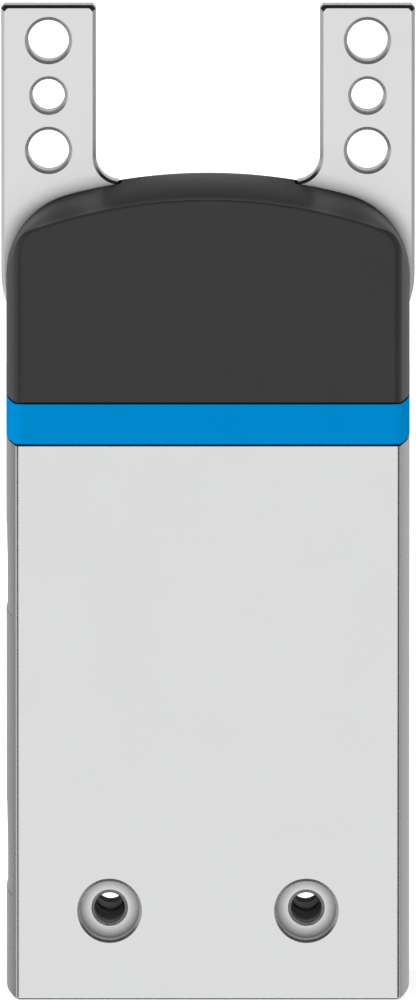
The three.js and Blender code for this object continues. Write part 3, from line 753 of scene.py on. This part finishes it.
def jaw_slot_tool(hand):
    """The slot that a jaw swings through, over the top and down the side."""
    low, high = JAW_SLOT_LOW, COVER_HIGH.z + 2
    inner, outer = JAW_SLOT_INNER * hand, (HALF_WIDTH + 2) * hand
    x0, x1 = min(inner, outer), max(inner, outer)
    return box("tool", (x0, -JAW_SLOT_HALF, low), (x1, JAW_SLOT_HALF, high))


def on_cover_skin(point):
    """True for a point on the cover's outer surface, in millimetres."""
    x, y, z = point
    end_margin, dome_margin, side_margin = 0.1, 0.25, 0.02
    if abs(y) > HALF_DEPTH - end_margin:
        return False
    section = pillow_section(y, 0.0, 6, 40, 80)
    nearest = min(math.hypot(x - sx, z - sz) for sx, sz, _ in section)
    on_side = abs(abs(x) - side_x(y)) < side_margin and z < PIVOT_Z
    return nearest < dome_margin or on_side


def soften_slot_edges(cover, width=0.16):
    """Rounds the slots' rims where they break the cover's outer surface."""
    rim_angle, margin = math.radians(35), 0.05
    work = bmesh.new()
    work.from_mesh(cover.data)
    rims = []
    for edge in work.edges:
        if len(edge.link_faces) != 2 or edge.calc_face_angle() < rim_angle:
            continue
        points = [vertex.co / MM for vertex in edge.verts]
        within = all(abs(p.y) < JAW_SLOT_HALF + margin for p in points)
        above = all(p.z > JAW_SLOT_LOW - margin for p in points)
        if within and above and all(on_cover_skin(p) for p in points):
            rims.append(edge)
    bmesh.ops.bevel(work, geom=rims, offset=width * MM, segments=3, profile=0.5,
                    affect="EDGES", clamp_overlap=True)
    work.to_mesh(cover.data)
    work.free()


def make_cover():
    cover = pillow("cover_moulded", 0.0, COVER_LOW.z, 0.3, 28)
    hollow = pillow("tool", COVER_WALL, COVER_LOW.z - 1, 0.0, 16, (3, 8, 12))
    bosses = []
    for x, y in TIE_POINTS:
        sx, sy = math.copysign(1, x), math.copysign(1, y)
        xs = sorted((BOSS_INNER[0] * sx, (HALF_WIDTH + 1) * sx))
        ys = sorted((BOSS_INNER[1] * sy, (HALF_DEPTH + 1) * sy))
        bosses.append(box("boss", (xs[0], ys[0], BOSS_SPAN[0]), (xs[1], ys[1], BOSS_SPAN[1])))
    cut(hollow, *bosses)
    cut(cover, hollow)
    cut(cover, foot_trim_tool())
    cut(cover, *[jaw_slot_tool(hand) for _, hand in SIDES])
    cut(cover, *[drill(point, INSERT_BORE, 68, 75) for point in TIE_POINTS])
    soften_slot_edges(cover)
    return place(cover, "body", "cover", "dark_plastic", "cover")


def make_bearing_block():
    low, top = BLOCK_LOW.z, BLOCK_HIGH.z
    flange_top = 68.7
    cheek_x, cheek_y, round_top = 17.2, 7.6, 3.0
    flange = column("bearing_block_milled", plan_outline(1.2, 2.1), flat_levels(low, flange_top, 0.2))

    def cheek_outline(inset):
        x, z = cheek_x - inset, top - inset
        return [(-x, low + 0.2), (x, low + 0.2), (x, z - round_top), (x - round_top, z),
                (-x + round_top, z), (-x, z - round_top)]

    join(flange, plate("cheeks", cheek_outline, flat_levels(-cheek_y, cheek_y, 0.25)))
    channel_x, channel_y = 10.15, 5
    cut(flange, box("tool", (-channel_x, -channel_y, low - 1), (channel_x, channel_y, top + 1)))
    gap_low, gap_high = (-HALF_WIDTH, -JAW_GAP_HALF, flange_top), (HALF_WIDTH, JAW_GAP_HALF, top + 1)
    cut(flange, box("tool", gap_low, gap_high))
    seat, mouth, step, lead = 2.8, 3.1, channel_y + 0.05, 0.3
    near = [(0, cheek_y + 1), (mouth, cheek_y + 1), (mouth, cheek_y), (seat, cheek_y - lead)]
    near += [(seat, step), (PIN_HOLE + 0.05, step)]
    bore = [(radius, -along) for radius, along in near] + near[::-1]
    for _, hand in SIDES:
        cut(flange, turned("tool", bore, "y", (hand * PIVOT_X, 0, PIVOT_Z), SMALL_SIDES))
    cut(flange, *[tie_hole_tool(point, low - 1, flange_top + 1) for point in TIE_POINTS])
    cut(flange, *[dowel_hole_tool(point, low - 1, 68.5) for point in DOWEL_POINTS])
    return place(flange, "body", "milled", "machined_aluminium", "bearing_block")


def make_tie_screws():
    for side, sx in SIDES:
        for depth, sy in DEPTHS:
            node = f"tie_screw_{side}_{depth}"
            point = (sx * TIE_X, sy * TIE_Y, 0)
            low, tip, shank, root = TIE_LOW.z, TIE_HIGH.z, 1.25, 1.03
            profile = [(0, low), (TIE_HEAD - 0.2, low), (TIE_HEAD, low + 0.2), (TIE_HEAD, TIE_SEAT)]
            profile += [(shank, TIE_SEAT)] + thread_profile(shank, root, 63.0, tip - 0.4, 0.45)
            profile += [(1.0, tip), (0, tip)]
            screw = turned(f"{node}_machined", profile, at=point, sides=SMALL_SIDES)
            corner = 1.15
            socket = [(0, low - 1), (corner, low - 1), (corner, low + 1.2), (0, low + 1.5)]
            cut(screw, turned("tool", socket, at=point, sides=6))
            place(screw, "body", "dark_steel", "hardened_steel", node)


def make_cover_inserts():
    low, high = cad_box("cover_insert_right_rear")
    outer = (high.x - low.x) / 2
    for side, sx in SIDES:
        for depth, sy in DEPTHS:
            node = f"cover_insert_{side}_{depth}"
            waist, inner, neck = (low.z + high.z) / 2, 1.3, outer - 0.3
            profile = [(inner, low.z), (outer, low.z), (outer, waist - 0.5), (neck, waist - 0.3),
                       (neck, waist + 0.3), (outer, waist + 0.5), (outer, high.z), (inner, high.z),
                       (inner, low.z)]
            insert = turned(f"{node}_turned", profile, at=(sx * TIE_X, sy * TIE_Y, 0), sides=SMALL_SIDES)
            place(insert, "body", "brass", "insert_brass", node)


def make_pivot_bushes():
    for side, sx in SIDES:
        for depth, _ in DEPTHS:
            node = f"pivot_bush_{side}_{depth}"
            low, high = cad_box(node)
            profile = ring_profile(PIN_HOLE, 2.75, low.y, high.y, 0.12)
            bush = turned(f"{node}_turned", profile, "y", (sx * PIVOT_X, 0, PIVOT_Z), SMALL_SIDES)
            place(bush, "body", "bearing", "sliding_plastic", node)


def make_dowels():
    for (side, _), point in zip(SIDES, DOWEL_POINTS):
        node = f"dowel_pin_{side}"
        profile = pin_profile(1.0, DOWEL_LOW.z, DOWEL_HIGH.z, 0.2)
        pin = turned(f"{node}_ground", profile, at=(*point, 0), sides=SMALL_SIDES)
        place(pin, "body", "steel", "ground_steel", node)


def make_rod_guide():
    low, high = cad_box("rod_guide")
    profile = [
        (5.05, low.z), (10.2, low.z), (10.5, low.z + 0.3), (10.5, SEAT_Z + 0.05), (12.7, SEAT_Z + 0.05),
        (12.9, SEAT_Z + 0.25), (12.9, 53.2), (11.2, 53.2), (11.2, 55.4), (12.9, 55.4),
        (12.9, high.z - 0.3), (12.6, high.z), (6.85, high.z), (6.55, high.z - 0.3), (6.55, 54),
        (4.1, 54), (4.1, 52.5), (5.05, 52.5), (5.05, low.z),
    ]
    guide = turned("rod_guide_turned", profile)
    place(guide, "body", "milled", "machined_aluminium", "rod_guide")


def make_fixed_rings():
    rings = (
        ("rod_bush", 4.06, "bearing", "sliding_plastic", 0.2),
        ("rod_seal", 4.06, "rubber", "black_rubber", 0.4),
        ("rod_guide_oring", 11.25, "rubber", "black_rubber", 0.7),
        ("lower_bumper", 6.6, "rubber", "black_rubber", 0.25),
        ("upper_bumper", 5.2, "rubber", "black_rubber", 0.25),
    )
    for node, inner, material, slot, edge in rings:
        low, high = cad_box(node)
        profile = ring_profile(inner, high.x, low.z, high.z, edge)
        place(turned(f"{node}_turned", profile), "body", material, slot, node)


def make_retaining_ring():
    """An open ring, sprung into its groove."""
    low, high = cad_box("retaining_ring")
    outer, inner = high.x, 11.6
    ring = turned("retaining_ring_stamped", ring_profile(inner, outer, low.z, high.z, 0.08))
    cut(ring, box("tool", (-3.2, -outer - 1, low.z - 1), (3.2, -9, high.z + 1)))
    place(ring, "body", "dark_steel", "hardened_steel", "retaining_ring")


# ------------------------------------------------------------------ moving parts

PISTON_LOW, PISTON_HIGH = cad_box("piston")
CROSSHEAD_LOW, CROSSHEAD_HIGH = cad_box("crosshead")
DRIVER_X = PIVOT_X - DRIVER_ARM
DRIVER_Z = PIVOT_Z - STROKE
ROD_STUB = 2.5


def make_piston():
    land, nose, low, high = PISTON_HIGH.x, 11.3, PISTON_LOW.z, PISTON_HIGH.z
    grooves = ((10, 19.4, 21.8), (9, 23.2, 26.4), (11.2, 27.2, 30), (10, 30.7, 33.1))
    profile = [(6.2, low), (nose - 0.4, low), (nose, low + 0.4), (nose, 18.7), (land, 18.7)]
    for radius, bottom, top in grooves:
        profile += [(land, bottom), (radius, bottom), (radius, top), (land, top)]
    profile = profile[:-1] + [(nose, grooves[-1][2]), (nose, high - 0.3), (nose - 0.3, high)]
    profile += [(3.05, high), (3.05, 18.5), (6.2, 18.5), (6.2, low)]
    place(turned("piston_turned", profile), "piston", "milled", "machined_aluminium", "piston")


def make_piston_rings():
    rings = (
        ("piston_seal_lower", 10.05, "rubber", "black_rubber", 0.6),
        ("piston_seal_upper", 10.05, "rubber", "black_rubber", 0.6),
        ("piston_guide_ring", 11.25, "bearing", "sliding_plastic", 0.15),
        ("piston_magnet", 9.05, "magnet", "magnet", 0.2),
    )
    for node, inner, material, slot, edge in rings:
        low, high = cad_box(node)
        profile = ring_profile(inner, high.x, low.z, high.z, edge)
        place(turned(f"{node}_turned", profile), "piston", material, slot, node)


def make_piston_rod():
    low, high = cad_box("piston_rod")
    shoulder, rod, top, neck, root = PISTON_HIGH.z, high.x, CROSSHEAD_LOW.z, 3.0, 2.2
    profile = [(0, low.z), (neck - 0.3, low.z), (neck, low.z + 0.3), (neck, 19.0), (neck, shoulder)]
    profile += [(rod - 0.2, shoulder), (rod, shoulder + 0.2), (rod, top - 0.3), (rod - 0.3, top)]
    profile += [(ROD_STUB, top)] + thread_profile(ROD_STUB, root, top + 0.3, high.z - 0.3, M5["pitch"])
    profile += [(root, high.z), (0, high.z)]
    rod_piece = turned("piston_rod_ground", profile)
    place(rod_piece, "piston", "steel", "ground_steel", "piston_rod")

    low, high = cad_box("piston_nut")
    corner, hole = high.y, neck + 0.05
    blank = [(0, low.z), (corner, low.z), (corner, high.z), (0, high.z)]
    through = [(0, low.z - 1), (hole, low.z - 1), (hole, high.z + 1), (0, high.z + 1)]
    nut = cut(turned("piston_nut_machined", blank, sides=6), turned("tool", through))
    place(nut, "piston", "dark_steel", "hardened_steel", "piston_nut")


def make_crosshead():
    half_depth, low = CROSSHEAD_HIGH.y, CROSSHEAD_LOW.z
    arm, hub, floor = 1.9, 3.6, 67.2
    levels = flat_levels(-half_depth, half_depth, 0.2)

    def arm_outline(inset):
        radius = arm - inset
        return (arc((DRIVER_X, DRIVER_Z), radius, -90, 90, 24)
                + arc((-DRIVER_X, DRIVER_Z), radius, 90, 270, 24))

    fork = plate("crosshead_machined", arm_outline, levels)
    hub_outline = rectangle_outline((-hub, low), (hub, DRIVER_Z), 0.4)
    join(fork, plate("hub", hub_outline, levels))
    slot_low, slot_high = (-HALF_WIDTH, -JAW_GAP_HALF, floor), (HALF_WIDTH, JAW_GAP_HALF, COVER_HIGH.z)
    cut(fork, box("tool", slot_low, slot_high))
    cut(fork, drill((0, 0), ROD_STUB + 0.05, low - 1, floor + 1))
    reach, pin_hole = half_depth + 1, 1.05
    hole = [(0, -reach), (pin_hole, -reach), (pin_hole, reach), (0, reach)]
    for _, hand in SIDES:
        cut(fork, turned("tool", hole, "y", (hand * DRIVER_X, 0, DRIVER_Z), SMALL_SIDES))
    place(fork, "piston", "dark_steel", "hardened_steel", "crosshead")


def make_driver_pins():
    for side, hand in SIDES:
        at = (hand * DRIVER_X, 0, DRIVER_Z)
        low, high = cad_box(f"{side}_driver_pin")
        section = pin_profile(1.0, low.y, high.y)
        pin = turned(f"{side}_driver_pin_ground", section, "y", at, SMALL_SIDES)
        place(pin, "piston", "steel", "ground_steel", f"{side}_driver_pin")
        low, high = cad_box(f"{side}_driver_roller")
        section = ring_profile(1.05, 1.6, low.y, high.y, 0.12)
        roller = turned(f"{side}_driver_roller_ground", section, "y", at, SMALL_SIDES)
        place(roller, "piston", "steel", "ground_steel", f"{side}_driver_roller")


# -------------------------------------------------------------------------- jaws

JAW_ROOT = abs(JAW_LOW.x) - PIVOT_X
JAW_HUB = 7.0
JAW_HALF = JAW_HIGH.y
JAW_TOP = JAW_HIGH.z
JAW_INNER_X = 12.33
FOOT_X = 9.85
FOOT_Z = 89.05
FOOT_FILLET = 2.7
JAW_HOLE_X = 17.53
JAW_HOLES = ((104.6, 2.25), (98.55, 1.78), (92.5, 2.25))
ROLLER_SLOT = 1.7
LOBE = 3.0


def roller_path():
    """The roller's path as the right jaw sees it, in the frame of its pivot."""
    points = []
    steps = 36
    for i in range(steps + 1):
        turn = math.pi / 2 * i / steps
        height = -STROKE * (1 - i / steps)
        across = DRIVER_ARM * math.cos(turn) + height * math.sin(turn)
        up = -DRIVER_ARM * math.sin(turn) + height * math.cos(turn)
        points.append((PIVOT_X - across, PIVOT_Z + up))
    return points


def stroke_outline(path, radius):
    """The outline of a round tool that moves along a path."""
    def outline(inset):
        reach = radius - inset
        headings = []
        for i in range(len(path)):
            before, after = path[max(i - 1, 0)], path[min(i + 1, len(path) - 1)]
            headings.append(math.atan2(after[1] - before[1], after[0] - before[0]))

        def offset(i, angle):
            return (path[i][0] + reach * math.cos(angle), path[i][1] + reach * math.sin(angle))

        last, quarter = len(path) - 1, math.pi / 2
        right = [offset(i, headings[i] - quarter) for i in range(len(path))]
        left = [offset(i, headings[i] + quarter) for i in range(last, -1, -1)]
        nose = [offset(last, headings[last] - quarter + math.pi * k / 20) for k in range(1, 20)]
        tail = [offset(0, headings[0] + quarter + math.pi * k / 20) for k in range(1, 20)]
        return right + nose + left + tail
    return outline


def finger_outline(inset):
    """The right finger, from its tip to the pivot, with its concave foot."""
    outer, inner, top = abs(JAW_LOW.x) - inset, JAW_INNER_X + inset, JAW_TOP - inset
    edge = JAW_CHAMFER
    centre = (JAW_INNER_X - FOOT_FILLET, FOOT_Z + FOOT_FILLET)
    radius = FOOT_FILLET + inset
    last = math.degrees(math.acos((FOOT_X + inset - centre[0]) / radius))
    fillet = arc(centre, radius, 0, -last, 14)
    return [(outer, PIVOT_Z), (outer, top - edge), (outer - edge, top), (inner + edge, top),
            (inner, top - edge)] + fillet + [(FOOT_X + inset, PIVOT_Z)]


def mirrored(outline, hand):
    return lambda inset: [(hand * x, z) for x, z in outline(inset)]


def make_jaw(side, hand):
    levels = flat_levels(-JAW_HALF, JAW_HALF, JAW_CHAMFER)
    through = [(-JAW_HALF - 1, 0), (JAW_HALF + 1, 0)]
    jaw = plate(f"{side}_jaw_ground", mirrored(finger_outline, hand), levels)

    def root_outline(inset):
        radius, edge = JAW_ROOT - inset, FOOT_X + inset
        reach = math.degrees(math.acos((PIVOT_X - edge) / radius))
        return arc((PIVOT_X, PIVOT_Z), radius, reach - 180, 180 - reach, 96)

    path = roller_path()
    join(jaw, plate("root", mirrored(root_outline, hand), levels))
    join(jaw, plate("hub", mirrored(circle_outline((PIVOT_X, PIVOT_Z), JAW_HUB), hand), levels))
    join(jaw, plate("lobe", mirrored(stroke_outline(path, LOBE), hand), levels))
    cut(jaw, plate("tool", mirrored(stroke_outline(path, ROLLER_SLOT), hand), through))
    face, inner_face = JAW_HALF + 1, JAW_HALF - JAW_CHAMFER
    holes = [(JAW_HOLE_X, z, radius) for z, radius in JAW_HOLES] + [(PIVOT_X, PIVOT_Z, PIN_HOLE)]
    for x, z, radius in holes:
        wide = radius + JAW_CHAMFER + 1
        half = [(0, face), (wide, face), (radius, inner_face)]
        profile = [(across, -along) for across, along in half] + half[::-1]
        cut(jaw, turned("tool", profile, "y", (hand * x, 0, z)))
    place(jaw, f"{side}_jaw", "jaw", "jaw_steel", f"{side}_jaw")

    low, high = cad_box(f"{side}_pivot_pin")
    at = (hand * PIVOT_X, 0, PIVOT_Z)
    pin = turned(f"{side}_pivot_pin_ground", pin_profile(2.0, low.y, high.y, 0.25), "y", at, SMALL_SIDES)
    place(pin, f"{side}_jaw", "steel", "ground_steel", f"{side}_pivot_pin")


# ------------------------------------------------------------------------- stage

STUDIO_GLOW = 0.02
STUDIO_PANELS = (
    # direction, full within, none beyond, strength; the last two make a ring
    ((0, -1, 0), 24, 44, 0.95),
    ((-1, 0.2, 0), 16, 38, 0.68),
    ((0.05, 1, 0), 4, 31, 0.62),
    ((-0.7, 0.7, 0.1), 4, 20, 0.30),
    ((0.94, 0.34, 0), 20, 36, 0.50),
    ((0, 0, -1), 60, 76, 0.60),
    ((0, 0, -1), 18, 36, -0.60),
)
SOFT_SUNS = (
    # name, where it comes from, strength, spread
    ("top_fill", (0, -0.2, 1), 0.38, 80),
    ("left_fill", (-1, -0.3, 0.5), 0.74, 60),
    ("right_fill", (1, -0.3, 0.5), 0.42, 60),
    ("front_fill", (0, -1, 0.5), 0.15, 60),
)


def make_floor():
    """A plain pale sheet just under the part. It glows a little, so that it stays
    near white, and it leaves no reflection in the metal."""
    size, drop = 6.0, 0.0001
    corners = [(-size, -size, 0), (size, -size, 0), (size, size, 0), (-size, size, 0)]
    mesh = bpy.data.meshes.new("floor")
    mesh.from_pydata(corners, [], [(0, 1, 2, 3)])
    floor = bpy.data.objects.new("floor", mesh)
    floor.location.z = -drop
    floor.visible_glossy = False
    bpy.context.scene.collection.objects.link(floor)
    material, shader = new_material("pale_floor", (0.85, 0.85, 0.85), 0.7, 0.0)
    shader.inputs["Specular IOR Level"].default_value = 0.0
    shader.inputs["Emission Color"].default_value = (1, 1, 1, 1)
    shader.inputs["Emission Strength"].default_value = 0.5
    mesh.materials.append(material)


def studio_panel(tree, direction, full, none, strength):
    """Soft light from one direction: full within one angle of it, and none
    beyond another; angles in degrees. A negative strength takes light away."""
    nodes, links = tree.nodes, tree.links
    looking = nodes.new("ShaderNodeTexCoord")
    facing = nodes.new("ShaderNodeVectorMath")
    facing.operation = "DOT_PRODUCT"
    facing.inputs[1].default_value = Vector(direction).normalized()
    spread = nodes.new("ShaderNodeMapRange")
    spread.interpolation_type = "SMOOTHSTEP"
    spread.inputs["From Min"].default_value = math.cos(math.radians(none))
    spread.inputs["From Max"].default_value = math.cos(math.radians(full))
    spread.inputs["To Max"].default_value = strength
    links.new(looking.outputs["Generated"], facing.inputs[0])
    links.new(facing.outputs["Value"], spread.inputs["Value"])
    return spread.outputs["Result"]


def make_environment():
    """A studio of soft panels round the part, with dark gaps between them, and a
    pale ring below that stands for the floor. The camera sees plain white."""
    world = bpy.data.worlds.new("studio")
    bpy.context.scene.world = world
    world.use_nodes = True
    nodes, links = world.node_tree.nodes, world.node_tree.links
    glow = nodes.new("ShaderNodeValue")
    glow.outputs[0].default_value = STUDIO_GLOW
    level = glow.outputs[0]
    for panel in STUDIO_PANELS:
        add = nodes.new("ShaderNodeMath")
        add.operation = "ADD"
        links.new(level, add.inputs[0])
        links.new(studio_panel(world.node_tree, *panel), add.inputs[1])
        level = add.outputs[0]
    seen = nodes.new("ShaderNodeLightPath")
    pick = nodes.new("ShaderNodeMix")
    links.new(seen.outputs["Is Camera Ray"], pick.inputs["Factor"])
    links.new(level, pick.inputs["A"])
    pick.inputs["B"].default_value = 1.0
    background = nodes["Background"]
    background.inputs["Color"].default_value = (1, 1, 1, 1)
    links.new(pick.outputs["Result"], background.inputs["Strength"])


def make_soft_suns():
    """Broad fill lights that only matt surfaces answer to."""
    for name, source, strength, spread in SOFT_SUNS:
        data = bpy.data.lights.new(name, "SUN")
        data.energy = strength * math.pi
        data.angle = math.radians(spread)
        light = bpy.data.objects.new(name, data)
        light.rotation_euler = Vector(source).to_track_quat("Z", "Y").to_euler()
        light.visible_camera = False
        light.visible_glossy = False
        bpy.context.scene.collection.objects.link(light)


def make_camera():
    """A long lens, nearly parallel, looking down on the front by a few degrees."""
    elevation = math.radians(5.316)
    frame_height = 0.1103
    centre = Vector((0.0, 0.0, 0.05366))
    data = bpy.data.cameras.new("camera")
    data.sensor_width = 36
    data.lens = 644
    distance = frame_height * data.lens / data.sensor_width
    camera = bpy.data.objects.new("camera", data)
    away = Vector((0, -math.cos(elevation), math.sin(elevation)))
    camera.location = centre + away * distance
    camera.rotation_euler = away.to_track_quat("Z", "Y").to_euler()
    data.clip_end = 20
    bpy.context.scene.collection.objects.link(camera)
    bpy.context.scene.camera = camera


make_camera()
make_floor()
make_environment()
make_soft_suns()

make_housing()
make_band()
make_cover()
make_bearing_block()
make_tie_screws()
make_cover_inserts()
make_pivot_bushes()
make_dowels()
make_rod_guide()
make_fixed_rings()
make_retaining_ring()
make_piston()
make_piston_rings()
make_piston_rod()
make_crosshead()
make_driver_pins()
for jaw_side, jaw_hand in SIDES:
    make_jaw(jaw_side, jaw_hand)

bpy.context.scene.view_settings.view_transform = "Standard"
